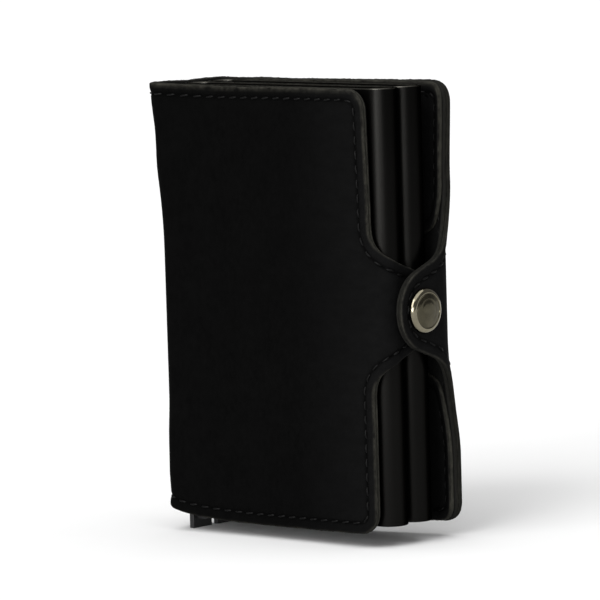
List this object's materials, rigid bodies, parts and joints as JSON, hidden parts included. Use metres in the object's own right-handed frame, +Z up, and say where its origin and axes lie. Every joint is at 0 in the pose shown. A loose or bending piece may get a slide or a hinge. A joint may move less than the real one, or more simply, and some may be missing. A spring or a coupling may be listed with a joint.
{
  "type": "card holder",
  "caption": "Book-style leather wallet holding two slim metal card boxes side by side, each with a bottom ejector lever, closed by a snap strap.",
  "frame": {"origin": "middle of the upright wallet's bounding box, at the lower ends of the ejector levers", "axes": "+Z up along the wallet's height, -Y out of the front panel, +X towards the opening side with the strap"},
  "size_m": [0.0742, 0.0268, 0.1071],
  "materials": {
    "leather": "matte nubuck black",
    "lining": "matte black lining",
    "shell": "satin black anodised",
    "plastic": "moulded matte black",
    "felt": "dark felt",
    "tape": "adhesive tape",
    "gunmetal": "polished dark nickel",
    "snap_steel": "plated steel",
    "pin_steel": "plain steel"
  },
  "bodies": {
    "back_half": {"back_cover": "leather", "back_lining": "lining", "back_pocket": "leather", "shell_2": "shell", "end_cap_2": "plastic", "card_guide_2_left": "plastic", "card_guide_2_right": "plastic", "brake_pad_2": "felt", "mounting_tape_2": "tape", "pivot_pin_2": "pin_steel"},
    "spine": {"spine_cover": "leather", "spine_lining": "lining"},
    "front_half": {"front_cover": "leather", "front_lining": "lining", "snap_stud": "snap_steel", "snap_post": "snap_steel", "shell_1": "shell", "end_cap_1": "plastic", "card_guide_1_left": "plastic", "card_guide_1_right": "plastic", "brake_pad_1": "felt", "mounting_tape_1": "tape", "pivot_pin_1": "pin_steel"},
    "strap": {"strap": "leather", "strap_lining": "lining", "snap_cap": "gunmetal", "snap_socket": "snap_steel"},
    "ejector_lever_1": {"ejector_lever_1": "plastic"},
    "ejector_lever_2": {"ejector_lever_2": "plastic"}
  },
  "joints": [
    {"name": "spine_back_fold", "type": "hinge", "parent": "back_half", "child": "spine", "pos_m": [-0.03623, 0.00912, 0.0553], "axis": [0, 0, -1], "range_deg": [0, 90]},
    {"name": "spine_front_fold", "type": "hinge", "parent": "spine", "child": "front_half", "pos_m": [-0.03623, -0.01253, 0.0553], "axis": [0, 0, -1], "range_deg": [0, 90]},
    {"name": "strap_fold", "type": "hinge", "parent": "back_half", "child": "strap", "pos_m": [0.02753, 0.01002, 0.0553], "axis": [0, 0, 1], "range_deg": [0, 100]},
    {"name": "ejector_lever_1", "type": "hinge", "parent": "front_half", "child": "ejector_lever_1", "pos_m": [-0.02463, -0.00633, 0.013], "axis": [0, -1, 0], "range_deg": [0, 38]},
    {"name": "ejector_lever_2", "type": "hinge", "parent": "back_half", "child": "ejector_lever_2", "pos_m": [-0.02463, 0.00217, 0.013], "axis": [0, -1, 0], "range_deg": [0, 38]}
  ],
  "couplings": [
    {"joint": "spine_front_fold", "follows": "spine_back_fold", "ratio": 1}
  ]
}
